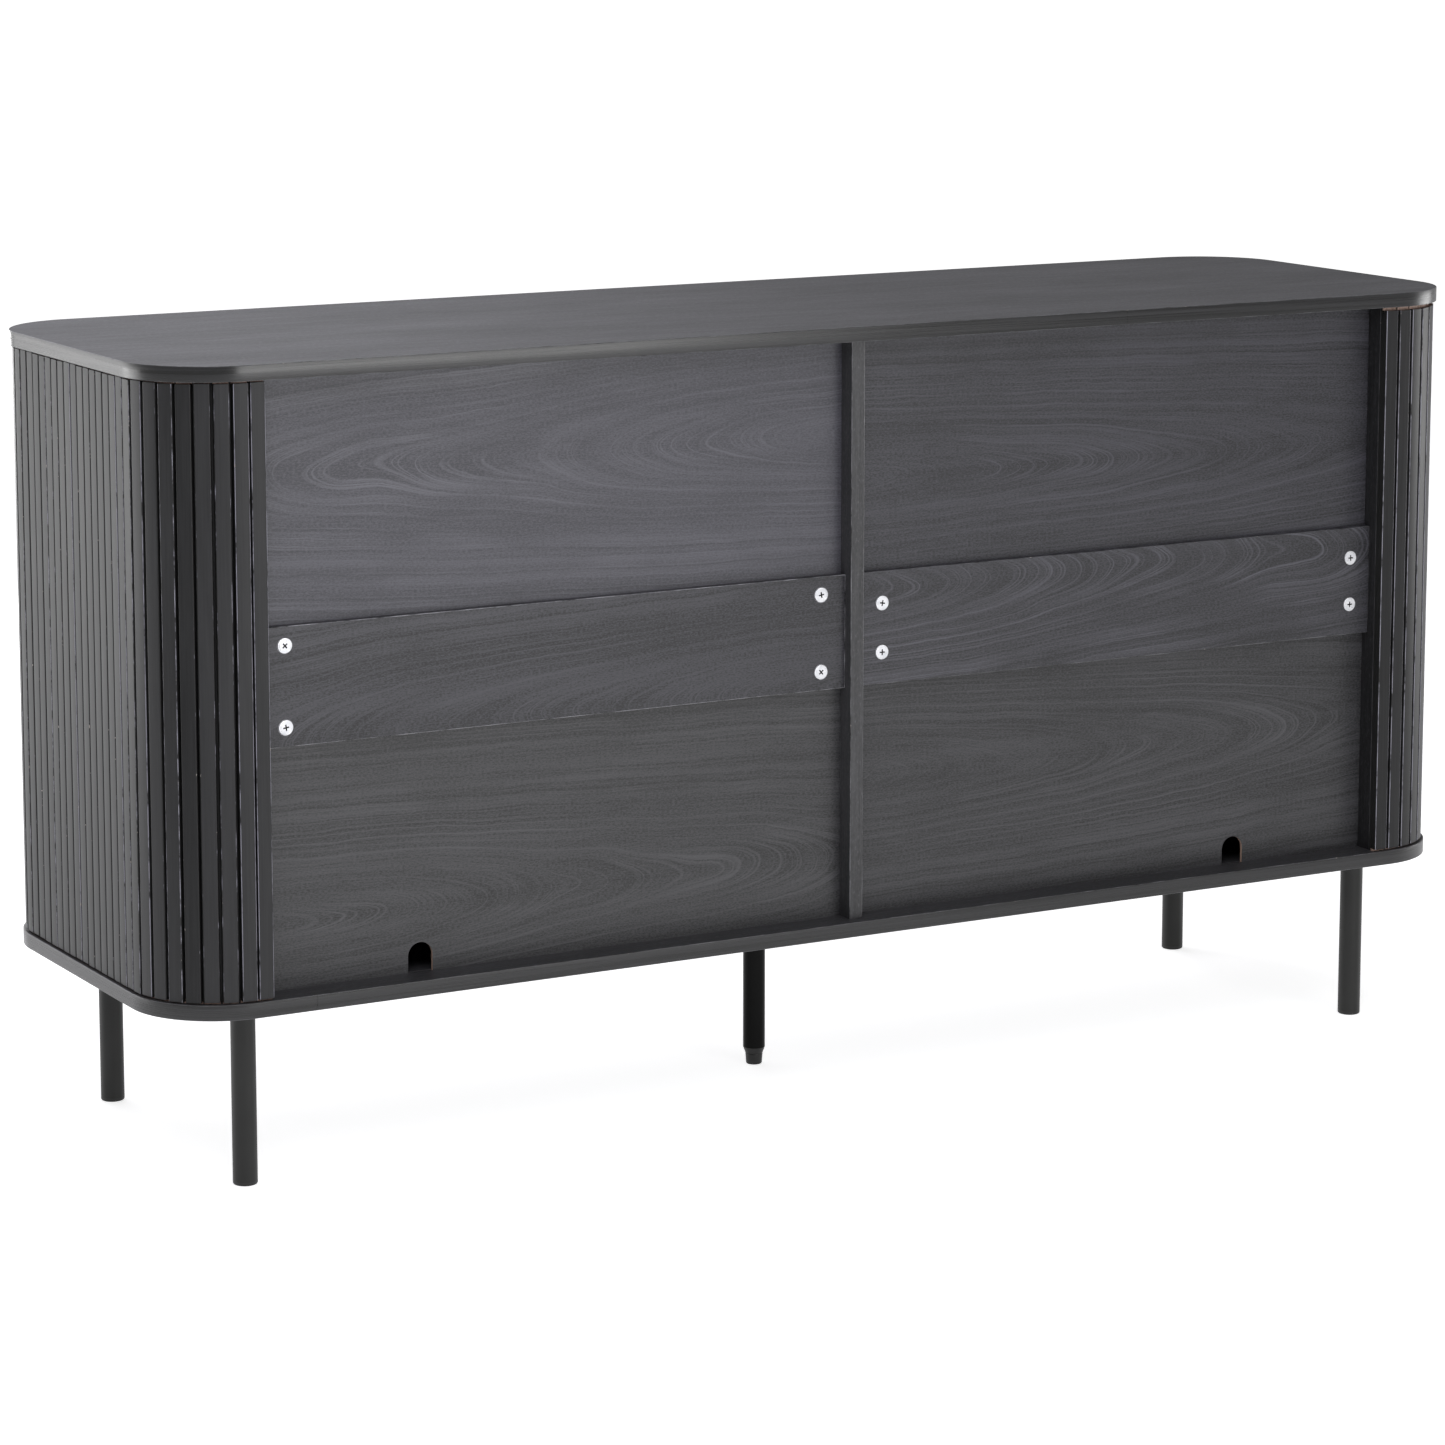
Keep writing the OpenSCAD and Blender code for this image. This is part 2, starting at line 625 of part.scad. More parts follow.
module door_panel(side) color(board_colour) sided(side) difference() {
    y0 = door_face(side) + slat_t;
    yc = door_centre_y(side);
    block([door_end_x - door_w, y0, door_z0], [door_end_x, y0 + door_t, door_z1]);
    for (x = fitting_x) {
        block([x - housing[0] / 2 - 0.2, yc - housing[1] / 2 - 0.1, door_z0 - 1],
            [x + housing[0] / 2 + 0.2, yc + housing[1] / 2 + 0.1,
                housing_z0 + housing[2] + 0.2]);
        block([x - guide[0] / 2 - 0.2, yc - guide[1] / 2 - 0.1, guide_z0 - 0.2],
            [x + guide[0] / 2 + 0.2, yc + guide[1] / 2 + 0.1, door_z1 + 1]);
    }
    block([pull_x1 - pull_w - 0.2, y0 - 1, pull_z0 - 0.2],
        [pull_x1 + 0.2, door_face(side) + pull_depth + 0.2, pull_z1 + 0.2]);
}

module door_slat(z0, z1) translate([0, 0, z0]) rotate([0, 0, -90])
    linear_extrude(z1 - z0) slat_section(slat_w);

module door_slats(side) color(slat_colour) sided(side) for (i = [0 : door_slats - 1])
    translate([door_end_x - (i + 0.5) * door_pitch, door_face(side) + slat_t, 0])
        if (i == pull_first || i == pull_first + 1) {
            door_slat(door_slat_z0, pull_z0 - 0.4);
            door_slat(pull_z1 + 0.4, door_slat_z1);
        } else door_slat(door_slat_z0, door_slat_z1);

module door_pull(side) color(black_plastic) sided(side) difference() {
    y0 = door_face(side);
    block([pull_x1 - pull_w, y0, pull_z0], [pull_x1, y0 + pull_depth, pull_z1]);
    block([pull_x1 - pull_w + pull_wall, y0 - 1, pull_z0 + pull_wall],
        [pull_x1 - pull_wall, y0 + pull_depth - pull_wall, pull_z1 - pull_wall]);
}

guide_z1 = ceil_z + groove_h - track_base - 1;
guide_z0 = guide_z1 - guide[2];

module door_guides(side) color(black_plastic) sided(side) for (x = fitting_x)
    block([x - guide[0] / 2, door_centre_y(side) - guide[1] / 2, guide_z0],
        [x + guide[0] / 2, door_centre_y(side) + guide[1] / 2, guide_z1]);

module door_housings(side) color(black_plastic) sided(side) for (x = fitting_x)
    translate([x, door_centre_y(side), 0]) difference() {
        block([-housing[0] / 2, -housing[1] / 2, housing_z0],
            [housing[0] / 2, housing[1] / 2, housing_z0 + housing[2]]);
        block([-roller_d / 2 - 1.5, -roller_w / 2 - 0.5, housing_z0 - 1],
            [roller_d / 2 + 1.5, roller_w / 2 + 0.5, roller_z + roller_d / 2 + 1.5]);
        translate([0, 10, roller_z]) rotate([90, 0, 0])
            cylinder(h = 20, d = axle_d + 0.04, $fn = 32);
    }

module door_axles(side) color(zinc) sided(side) for (x = fitting_x)
    translate([x, door_centre_y(side) + housing[1] / 2, roller_z]) rotate([90, 0, 0])
        cylinder(h = housing[1], d = axle_d, $fn = 32);

module door_roller(side, x) color(black_plastic) sided(side)
    translate([x, door_centre_y(side) + roller_w / 2, roller_z]) rotate([90, 0, 0])
        difference() {
            cylinder(h = roller_w, d = roller_d);
            translate([0, 0, -1]) cylinder(h = roller_w + 2, d = axle_d + 0.1, $fn = 48);
        }

module door_left_panel() door_panel(-1);
module door_left_slats() door_slats(-1);
module door_left_pull() door_pull(-1);
module door_left_guides() door_guides(-1);
module door_left_housings() door_housings(-1);
module door_left_axles() door_axles(-1);
module door_left_roller_outer() door_roller(-1, fitting_x[0]);
module door_left_roller_inner() door_roller(-1, fitting_x[1]);
module door_right_panel() door_panel(1);
module door_right_slats() door_slats(1);
module door_right_pull() door_pull(1);
module door_right_guides() door_guides(1);
module door_right_housings() door_housings(1);
module door_right_axles() door_axles(1);
module door_right_roller_outer() door_roller(1, fitting_x[0]);
module door_right_roller_inner() door_roller(1, fitting_x[1]);

top_board();
top_edge_band();
bottom_board();
bottom_edge_band();
side_panel_left();
side_panel_right();
centre_divider();
back_sheet_upper_left();
back_sheet_upper_right();
back_sheet_lower_left();
back_sheet_lower_right();
back_rail_left();
back_rail_right();
end_slats_left();
end_slats_right();
end_backing_left();
end_backing_right();
shelf_left();
shelf_right();
shelf_pins();
rail_cam_locks();
rail_cam_bolts();
panel_cam_locks();
panel_cam_bolts();
wood_dowels();
leg_front_left();
leg_front_right();
leg_back_left();
leg_back_right();
leg_glides();
leg_plates();
leg_studs();
leg_plate_screws();
centre_leg_tube();
centre_leg_cap();
leveller_foot();
door_track_top();
door_track_bottom();
track_screws();
door_bumpers();
door_left_panel();
door_left_slats();
door_left_pull();
door_left_guides();
door_left_housings();
door_left_axles();
door_left_roller_outer();
door_left_roller_inner();
door_right_panel();
door_right_slats();
door_right_pull();
door_right_guides();
door_right_housings();
door_right_axles();
door_right_roller_outer();
door_right_roller_inner();
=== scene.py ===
"""Looks of the sideboard buffet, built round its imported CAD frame.

Metres, +Z up, front towards -Y, left and right as seen from the front.
Places come from the CAD nodes' boxes. The sizes that no box tells, such as the corners' radius
and the slats' section, repeat the design's values.
"""
import math
import random

import bmesh
import bpy
from mathutils import Matrix, Vector


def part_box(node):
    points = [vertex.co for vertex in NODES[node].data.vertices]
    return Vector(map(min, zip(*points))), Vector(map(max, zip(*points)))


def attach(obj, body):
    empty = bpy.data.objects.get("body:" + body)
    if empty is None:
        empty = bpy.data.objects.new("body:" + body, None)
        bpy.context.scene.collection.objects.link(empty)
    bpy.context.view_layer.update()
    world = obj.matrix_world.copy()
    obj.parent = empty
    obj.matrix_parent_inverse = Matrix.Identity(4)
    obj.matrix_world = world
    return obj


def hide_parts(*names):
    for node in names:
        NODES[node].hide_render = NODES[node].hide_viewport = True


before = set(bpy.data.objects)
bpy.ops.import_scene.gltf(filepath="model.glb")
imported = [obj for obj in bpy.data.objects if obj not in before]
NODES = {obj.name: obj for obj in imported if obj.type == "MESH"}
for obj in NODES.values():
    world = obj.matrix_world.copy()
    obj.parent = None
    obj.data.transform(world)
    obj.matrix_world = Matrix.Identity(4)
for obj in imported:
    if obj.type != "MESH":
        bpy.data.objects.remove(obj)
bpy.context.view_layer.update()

MM = 0.001
SIDES = {"right": 1, "left": -1}

# ---------- sizes ----------

# Boards and their edge bands
BODY_LOW, BODY_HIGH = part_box("top_edge_band")
HALF_W = BODY_HIGH.x
HALF_D = BODY_HIGH.y
CEIL_Z = BODY_LOW.z
FLOOR_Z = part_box("bottom_edge_band")[1].z
BOARD_T = BODY_HIGH.z - BODY_LOW.z
MID_Z = (FLOOR_Z + CEIL_Z) / 2
CORNER_R = 90 * MM
CORNER_STEPS = 24
CORNER_X, CORNER_Y = HALF_W - CORNER_R, HALF_D - CORNER_R
BAND_T = 1 * MM
BAND_ROUNDING = 0.5 * MM
BAND_JOINT = 0.25 * MM
TOP_SEAM_X, BOTTOM_SEAM_X = -0.31, 0.60

# Slats: section, tongues, and the line that their backs follow round an end
SLAT_T = 8 * MM
SLAT_W = 14.9 * MM
SLAT_ARRIS = 1.0 * MM
SLAT_END_ARRIS = 0.35 * MM
TONGUE_T = 3 * MM
TONGUE_H = 4.5 * MM
TONGUE_LAP = 2 * MM
END_SLATS = 34
END_START_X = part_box("end_backing_right")[0].x
END_BACK_INSET = 3 * MM + SLAT_T
END_BEND_R = CORNER_R - END_BACK_INSET
END_GAP_LOW = 1.5 * MM
END_GAP_TOP = {"right": 1.5 * MM, "left": 4 * MM}
END_SEEDS = {"right": 11, "left": 23}
# End slats whose arrises are painted pale, for rubbing and a painted highlight, and how pale.
RUBBED_AND_HIGHLIT_SLATS = {"right": (0, 1, 7), "left": (0, 1, 2, 3, 4, 5)}
RUB_AND_HIGHLIGHT = 0.85

DOOR_SLATS = 40
DOOR_SEEDS = {"right": 37, "left": 53}
DOOR_SLAT_LOW = FLOOR_Z + 2.5 * MM
DOOR_SLAT_HIGH = CEIL_Z - 1.5 * MM
PULL_SLATS = (2, 3)
PULL_GAP = 0.4 * MM

# Slots of a slat's materials; a band has the first two. The last is the slat's back and sides:
# near-black painted shade in the gaps between slats.
FACE, EDGE, BARE, BACK = range(4)

# Fittings
PLATED_LEGS = ("leg_front_left", "leg_front_right", "leg_back_left", "leg_back_right",
               "centre_leg_tube")
PLATE_HOLE = 20 * MM
TRACK_BASE = 1.5 * MM
TRACK_SCREW_X = (-0.6, -0.3, 0.0, 0.3, 0.6)
RAIL_CAM_SPREAD = {"right": 39 * MM, "left": 25 * MM}
RAIL_CAM_INNER = 28 * MM
RAIL_CAM_OUTER = 24.5 * MM

# Figured sheets and rails. The first two numbers are the flames' eye: its place along X and its
# height. A sheet's others are painted light: how much lighter it is painted than the darkest,
# and how blue, for the light that falls on it. A rail's are how light its figure is, and how pale
# its arrises are painted, for rubbing and a painted highlight. The ring slope is how fast the
# growth rings' radius grows along the board.
SHEET_FIGURES = {"upper_right": (-0.45, 0.685, 0.030, 0.18),
                 "upper_left": (0.15, 0.636, 0.001, 0.18),
                 "lower_right": (1.00, 0.255, 0.003, 0.06),
                 "lower_left": (0.30, 0.334, 0.000, 0.08)}
RAIL_FIGURES = {"right": (-0.35, 0.430, 0.060, 0.45), "left": (0.60, 0.525, 0.108, 0.16)}
WOOD_DARK, WOOD_LIGHT, WOOD_FIGURE = 0.009, 0.044, 0.077
RAIL_COOL = 0.16
RING_SLOPE = 0.083
SAWN = (0.55, 0.38, 0.30, 1)

# Angles, in degrees, over which a made piece's edge stays sharp and a CAD node's is rounded
SHARP_ANGLE = 38
ROUNDED_ANGLE = 50

# Camera, at the photograph's viewing angle, and floor
CAMERA_AZIMUTH, CAMERA_ELEVATION = 150.715, 9.04
CAMERA_PLACE = (2.3528, 4.1313, 1.2951)
CAMERA_LENS = 115.9
CAMERA_SHIFT = -0.12
FLOOR_R = 30


# ---------- node materials ----------

class Paint:
    """A node material round one Principled shader. Most methods add nodes and return a socket."""

    def __init__(self, name, **settings):
        self.material = bpy.data.materials.new(name)
        self.material.use_nodes = True
        self.tree = self.material.node_tree
        self.tree.nodes.clear()
        self.shader = self.tree.nodes.new("ShaderNodeBsdfPrincipled")
        output = self.tree.nodes.new("ShaderNodeOutputMaterial")
        self.tree.links.new(self.shader.outputs["BSDF"], output.inputs["Surface"])
        self.set(self.shader, settings)
        self.object_place = self.add("TexCoord", {}).outputs["Object"]

    def set(self, node, sockets):
        """Gives each named or numbered socket a link or a value of its own."""
        for key, value in sockets.items():
            key = key.replace("_", " ") if isinstance(key, str) else key
            socket = node.inputs[key]
            if isinstance(value, bpy.types.NodeSocket):
                self.tree.links.new(value, socket)
            else:
                socket.default_value = value

    def add(self, kind, sockets, **options):
        node = self.tree.nodes.new("ShaderNode" + kind)
        for key, value in options.items():
            setattr(node, key, value)
        self.set(node, sockets)
        return node

    def math(self, operation, a, b=0.0, c=0.0):
        return self.add("Math", {0: a, 1: b, 2: c}, operation=operation).outputs[0]

    def weigh(self, *parts):
        """Sum of sockets, each times a weight."""
        total = 0.0
        for socket, weight in parts:
            total = self.math("MULTIPLY_ADD", socket, weight, total)
        return total

    def noise(self, scale, detail, roughness, move=(0, 0, 0)):
        """Noise in the object's own space, with a scale for each axis."""
        place = self.add("Mapping", {"Vector": self.object_place, "Scale": scale,
                                     "Location": move}).outputs[0]
        return self.add("TexNoise", {"Vector": place, "Scale": 1.0, "Detail": detail,
                                     "Roughness": roughness}).outputs[0]

    def span(self, value, low, high, to_low=0.0, to_high=1.0):
        """Maps low...high to to_low...to_high, and goes no further than either."""
        return self.add("MapRange", {"Value": value, "From Min": low, "From Max": high,
                                     "To Min": to_low, "To Max": to_high}).outputs[0]

    def mix(self, factor, a, b):
        return self.add("Mix", {0: factor, 6: a, 7: b}, data_type="RGBA").outputs[2]

    def colour(self, socket):
        self.set(self.shader, {"Base Color": socket})

    def roughness(self, socket):
        self.set(self.shader, {"Roughness": socket})

    def bump(self, height, strength, distance):
        normal = self.add("Bump", {"Height": height, "Strength": strength, "Distance": distance})
        self.set(self.shader, {"Normal": normal.outputs[0]})


def grey(level, cool=0.04):
    """A dark neutral, a little blue."""
    return (level, level * (1 - 0.1 * cool), level * (1 + cool), 1)


def along(axis, fine, coarse):
    """Texture scale with the grain along one axis."""
    return tuple(coarse if name == axis else fine for name in "xyz")


def black_wood(name, axis="x", dark=0.020, light=0.042, rough=(0.38, 0.52), cool=0.08, gloss=0.5):
    """Black melamine with a fine straight grain, short pores and a soft mottle."""
    p = Paint(name, IOR=1.5, Specular_IOR_Level=gloss)
    fibres = p.noise(along(axis, 420, 16), 4, 0.65)
    speckle = p.noise(along(axis, 520, 230), 2, 0.6, move=(3, 5, 7))
    mottle = p.noise(along(axis, 16, 4), 3, 0.55)
    tone = p.weigh((fibres, 0.5), (mottle, 0.3), (speckle, 0.4))
    colour = p.mix(p.span(tone, 0.46, 0.74), grey(dark, cool), grey(light, cool))
    pore = p.span(speckle, 0.62, 0.76, 0.0, 0.5)
    p.colour(p.mix(pore, colour, grey(light * 2.2, cool)))
    p.roughness(p.span(tone, 0.4, 0.8, rough[1], rough[0]))
    p.bump(p.weigh((fibres, 0.6), (speckle, 1.0)), 0.25, 0.2 * MM)
    return p.material


def flame(p, eye):
    """The growth rings' radius where a plane at a small angle cuts them, bent and waved by
    noise, and the slant: how fast the radius grows across the face."""
    place = p.add("SeparateXYZ", {"Vector": p.object_place}).outputs
    bend = p.math("SUBTRACT", p.noise((3.4, 1, 4.5), 2, 0.5, move=(*eye, 0)), 0.5)
    wave = p.math("SUBTRACT", p.noise((13, 1, 40), 3, 0.55, move=(0, *eye)), 0.5)
    distance = p.math("ABSOLUTE", p.math("SUBTRACT", place["X"], eye[0]))
    depth = p.weigh((distance, RING_SLOPE), (bend, 20 * MM))
    height = p.math("MULTIPLY_ADD", wave, 8 * MM, p.math("SUBTRACT", place["Z"], eye[1]))
    height_squared = p.math("MULTIPLY", height, height)
    radius = p.math("SQRT", p.math("MULTIPLY_ADD", depth, depth, height_squared))
    steep = p.math("MULTIPLY", depth, RING_SLOPE)
    steep = p.math("SQRT", p.math("MULTIPLY_ADD", steep, steep, height_squared))
    return radius, p.math("MAXIMUM", p.math("DIVIDE", steep, radius), 0.06)


def ring_lines(p, radius, slant, spacing, width, seed, fade):
    """Thin lines along the growth rings, each as bright as its ring's own chance says. Divided
    by the slant, a line is as thin at a flame's tip as on its arms. Lines are lost where the
    slant is more than "fade"."""
    turns = p.math("MULTIPLY_ADD", radius, 1 / spacing, seed)
    drift = p.add("TexNoise", {"W": turns, "Scale": 0.6, "Detail": 1.0}, noise_dimensions="1D")
    turns = p.math("MULTIPLY_ADD", drift.outputs[0], 1.6, turns)
    ring = p.math("FLOOR", turns)
    chance = p.add("TexWhiteNoise", {"W": ring}, noise_dimensions="1D").outputs[0]
    apart = p.math("ABSOLUTE", p.math("SUBTRACT", p.math("FRACT", turns), 0.5))
    apart = p.math("DIVIDE", p.math("MULTIPLY", apart, spacing), slant)
    line = p.math("MULTIPLY", p.span(apart, width, 0.15 * width), p.span(chance, 0.15, 1.0))
    return p.math("MULTIPLY", line, p.span(slant, fade, 0.5 * fade))


def figured_wood(name, eye, dark, light, figure, cool, cut=None):
    """Black foil with a printed flame figure. "eye" is the place along X and the height that
    the flames point away from, and "cut" the colour of the board where it is sawn."""
    p = Paint(name, IOR=1.5)
    radius, slant = flame(p, eye)
    broad = ring_lines(p, radius, slant, 4.6 * MM, 1.3 * MM, eye[1] * 10, 4.0)
    finer = ring_lines(p, radius, slant, 1.5 * MM, 1.2 * MM, 3.3, 1.6)
    finest = ring_lines(p, radius, slant, 0.55 * MM, 1.1 * MM, 7.7, 0.55)
    lines = p.math("MAXIMUM", p.math("MULTIPLY", finer, 0.85), finest)
    lines = p.math("MAXIMUM", p.math("MULTIPLY", broad, 0.55), lines)
    patches = p.span(p.noise((5, 1, 14), 3, 0.6, move=(1, 2, 3)), 0.36, 0.60, 0.10, 1.0)
    lines = p.math("MULTIPLY", lines, patches)

    soft = p.add("TexNoise", {"W": p.math("MULTIPLY", radius, 1 / (9 * MM)), "Scale": 1.0,
                              "Detail": 4.0, "Roughness": 0.6}, noise_dimensions="1D").outputs[0]
    fibres = p.noise(along("x", 700, 40), 4, 0.70)
    speckle = p.noise((330, 330, 800), 3, 0.75, move=(3, 5, 7))
    bands = p.noise((0.8, 1, 26), 3, 0.6, move=(*eye, 5))
    tone = p.weigh((fibres, 0.26), (bands, 0.26), (speckle, 0.92), (soft, 0.18))
    colour = p.mix(p.span(tone, 0.72, 0.90), grey(dark, cool), grey(light, cool))
    colour = p.mix(p.math("MULTIPLY", lines, 0.86), colour, grey(figure, cool))
    if cut is not None:
        normal = p.add("TexCoord", {}).outputs["Normal"]
        facing_back = p.add("SeparateXYZ", {"Vector": normal}).outputs["Y"]
        sawn = p.math("LESS_THAN", p.math("ABSOLUTE", facing_back), 0.5)
        colour = p.mix(sawn, colour, cut)
    p.colour(colour)
    p.roughness(p.span(p.math("ADD", tone, lines), 0.5, 1.4, 0.50, 0.34))
    p.bump(p.weigh((fibres, 1.0), (speckle, 1.0), (lines, 0.5)), 0.22, 0.2 * MM)
    return p.material


def streaked_band(name):
    """Glossy black edge banding with fine streaks along its length."""
    p = Paint(name, IOR=1.55)
    streaks = p.noise((4, 4, 900), 3, 0.65)
    broad = p.noise((3, 3, 260), 2, 0.5, move=(4, 2, 1))
    tone = p.weigh((streaks, 0.55), (broad, 0.6))
    p.colour(p.mix(p.span(tone, 0.42, 0.75), grey(0.002), grey(0.022, 0.08)))
    p.roughness(p.span(tone, 0.4, 0.8, 0.22, 0.38))
    p.bump(tone, 0.30, 0.15 * MM)
    return p.material


def slat_foil(name):
    """Black foil on the slats: upright grain, and each slat a little lighter or darker."""
    p = Paint(name, IOR=1.5, Specular_IOR_Level=0.24)
    slat_tone = p.add("Attribute", {}, attribute_name="tone").outputs["Fac"]
    fibres = p.noise((500, 500, 12), 3, 0.6)
    mottle = p.noise((40, 40, 5), 3, 0.5)
    tone = p.weigh((fibres, 0.35), (mottle, 0.35), (slat_tone, 0.4))
    p.colour(p.mix(p.span(tone, 0.3, 0.85), grey(0.013), grey(0.042)))
    p.roughness(p.span(tone, 0.3, 0.85, 0.36, 0.46))
    p.bump(fibres, 0.14, 0.12 * MM)
    return p.material


def slat_edge(name):
    """Edge of a slat: black foil, painted pale blue-grey in dashes on the slats whose "tone" is
    high, for rubbing and a painted highlight.
    """
    p = Paint(name, IOR=1.5, Specular_IOR_Level=0.35)
    wear_and_highlight = p.add("Attribute", {}, attribute_name="tone").outputs["Fac"]
    dash = p.noise((60, 60, 38), 4, 0.7)
    rub_and_highlight_mask = p.span(p.weigh((wear_and_highlight, 0.30), (dash, 1.0)), 0.62, 0.78)
    chip = p.noise((400, 400, 150), 2, 0.5, move=(9, 4, 2))
    # The pale blue-grey is painted highlight as well as rubbed foil; the chips are bare board.
    colour = p.mix(rub_and_highlight_mask, grey(0.012), grey(0.26, 0.16))
    p.colour(p.mix(p.span(chip, 0.71, 0.75), colour, (0.45, 0.40, 0.37, 1)))
    p.roughness(p.span(dash, 0.3, 0.7, 0.28, 0.42))
    p.bump(chip, 0.2, 0.1 * MM)
    return p.material


def worn_and_highlit_arris(name, axis, pale_rub_and_highlight):
    """The edge of a board, painted lighter for rubbing and as a painted highlight where the arris
    catches light, with small bare chips.
    """
    p = Paint(name, IOR=1.5)
    rub_and_highlight_mask = p.noise(along(axis, 60, 45), 4, 0.65)
    chip = p.noise(along(axis, 400, 140), 2, 0.5, move=(9, 4, 2))
    colour = p.mix(p.span(rub_and_highlight_mask, 0.38, 0.72), grey(0.020), grey(pale_rub_and_highlight, 0.07))
    p.colour(p.mix(p.span(chip, 0.70, 0.74), colour, (0.42, 0.38, 0.35, 1)))
    p.roughness(p.span(rub_and_highlight_mask, 0.3, 0.7, 0.26, 0.40))
    p.bump(chip, 0.2, 0.1 * MM)
    return p.material


def raw_board(name):
    """Bare fibreboard, pinkish brown and speckled."""
    p = Paint(name, IOR=1.45)
    speckle = p.noise((500, 500, 500), 3, 0.7)
    soak = p.noise((60, 60, 60), 2, 0.5)
    tone = p.weigh((speckle, 0.6), (soak, 0.4))
    p.colour(p.mix(p.span(tone, 0.35, 0.65), (0.22, 0.14, 0.11, 1), (0.60, 0.44, 0.37, 1)))
    p.roughness(p.span(tone, 0.3, 0.7, 0.85, 0.7))
    p.bump(speckle, 0.4, 0.2 * MM)
    return p.material


def satin_paint(name, level, rough, texture=0.12, gloss=0.4):
    """Powder coat or moulded plastic: nearly even, with a fine orange peel."""
    p = Paint(name, IOR=1.5, Specular_IOR_Level=gloss)
    peel = p.noise((420, 420, 420), 2, 0.5)
    haze = p.noise((25, 25, 12), 3, 0.5)
    p.colour(p.mix(p.span(haze, 0.3, 0.7), grey(level * 0.85, -0.04), grey(level * 1.2, -0.04)))
    p.roughness(p.span(haze, 0.3, 0.7, rough + 0.05, rough - 0.05))
    p.bump(peel, texture, 0.08 * MM)
    return p.material


def zinc_plate(name, metal=1.0):
    """Bright zinc plating with a fine die-cast grain."""
    p = Paint(name, Metallic=metal)
    grain = p.noise((700, 700, 700), 3, 0.6)
    cloud = p.noise((90, 90, 90), 2, 0.5)
    p.colour(p.mix(p.span(cloud, 0.3, 0.7), (0.66, 0.67, 0.70, 1), (0.88, 0.88, 0.90, 1)))
    p.roughness(p.span(grain, 0.3, 0.7, 0.26, 0.42))
    p.bump(grain, 0.15, 0.06 * MM)
    return p.material


def beech_wood(name):
    """Pale beech with short dark flecks."""
    p = Paint(name, IOR=1.45)
    fibres = p.noise((500, 500, 25), 4, 0.6)
    flecks = p.span(p.noise((1200, 1200, 160), 1, 0.5), 0.62, 0.7, 0.0, 0.5)
    colour = p.mix(p.span(fibres, 0.3, 0.7), (0.50, 0.33, 0.19, 1), (0.68, 0.50, 0.32, 1))
    p.colour(p.mix(flecks, colour, (0.30, 0.17, 0.09, 1)))
    p.roughness(p.span(fibres, 0.3, 0.7, 0.65, 0.5))
    p.bump(fibres, 0.3, 0.1 * MM)
    return p.material


def clear_rubber(name):
    """Clear soft bumper, faintly yellow."""
    p = Paint(name, IOR=1.48, Transmission_Weight=0.8)
    haze = p.noise((300, 300, 300), 2, 0.5)
    p.colour(p.mix(haze, (0.80, 0.80, 0.76, 1), (0.92, 0.92, 0.90, 1)))
    p.roughness(p.span(haze, 0.3, 0.7, 0.18, 0.3))
    return p.material


def floor_paint(name):
    """White paper, bright to the camera, and dim to the cabinet so that it throws little light
    back. Far off it is as white as the world behind it."""
    p = Paint(name)
    haze = p.noise((0.7, 0.7, 0.7), 2, 0.5)
    p.colour(p.mix(haze, (0.90, 0.90, 0.90, 1), (0.92, 0.92, 0.92, 1)))
    from_middle = p.add("VectorMath", {0: p.object_place}, operation="LENGTH").outputs["Value"]
    to_camera = p.span(from_middle, 1.5, 6, 0.75, 1.0)
    seen = p.add("LightPath", {}).outputs["Is Camera Ray"]
    p.set(p.shader, {"Roughness": 0.9, "Emission Color": (1, 1, 1, 1),
                     "Emission Strength": p.span(seen, 0, 1, 0.50, to_camera)})
    return p.material


# ---------- mesh code ----------

def piece(name, bm, body, materials, stands_for):
    """Makes an object of a bmesh, and rides it on a body in place of a CAD node."""
    mesh = bpy.data.meshes.new(name)
    bmesh.ops.recalc_face_normals(bm, faces=bm.faces)
    bm.to_mesh(mesh)
    bm.free()
    for material in materials:
        mesh.materials.append(material)
    mesh.shade_smooth()
    mesh.set_sharp_from_angle(angle=math.radians(SHARP_ANGLE))
    made = bpy.data.objects.new(name, mesh)
    bpy.context.scene.collection.objects.link(made)
    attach(made, body)
    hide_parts(stands_for)


def loft(bm, rings, slots, caps=None):
    """Skins a list of rings of points. "slots" gives each side of the section its material,
    and "caps" the two end faces theirs. Returns the faces and the rows of corners."""
    rows = [[bm.verts.new(point) for point in ring] for ring in rings]
    count = len(rows[0])
    faces = []
    for low, high in zip(rows, rows[1:]):
        for i in range(count):
            j = (i + 1) % count
            face = bm.faces.new((low[i], low[j], high[j], high[i]))
            face.material_index = slots[i]
            faces.append(face)
    if caps is not None:
        for row in (rows[0], rows[-1]):
            face = bm.faces.new(row)
            face.material_index = caps
            faces.append(face)
    return faces, rows


def arc(cx, cy, radius, start, end, steps):
    """Points on an arc, angles in degrees."""
    angles = [math.radians(start + (end - start) * i / steps) for i in range(steps + 1)]
    return [(cx + radius * math.cos(a), cy + radius * math.sin(a)) for a in angles]


def direction(turn):
    """Unit vector in plan, at an angle in degrees."""
    angle = math.radians(turn)
    return Vector((math.cos(angle), math.sin(angle)))


# ---------- edge bands ----------

def outline_path(seam_x):
    """Places and outward normals round the boards' edge, from a seam on the back round to it."""
    back = Vector((0, 1))
    path = [(Vector((seam_x, HALF_D)), back)]
    for sx, sy, start in ((1, 1, 90), (1, -1, 0), (-1, -1, -90), (-1, 1, 180)):
        for i in range(CORNER_STEPS + 1):
            normal = direction(start - 90 * i / CORNER_STEPS)
            path.append((Vector((sx * CORNER_X, sy * CORNER_Y)) + normal * CORNER_R, normal))
    path.append((Vector((seam_x - BAND_JOINT, HALF_D)), back))
    return path


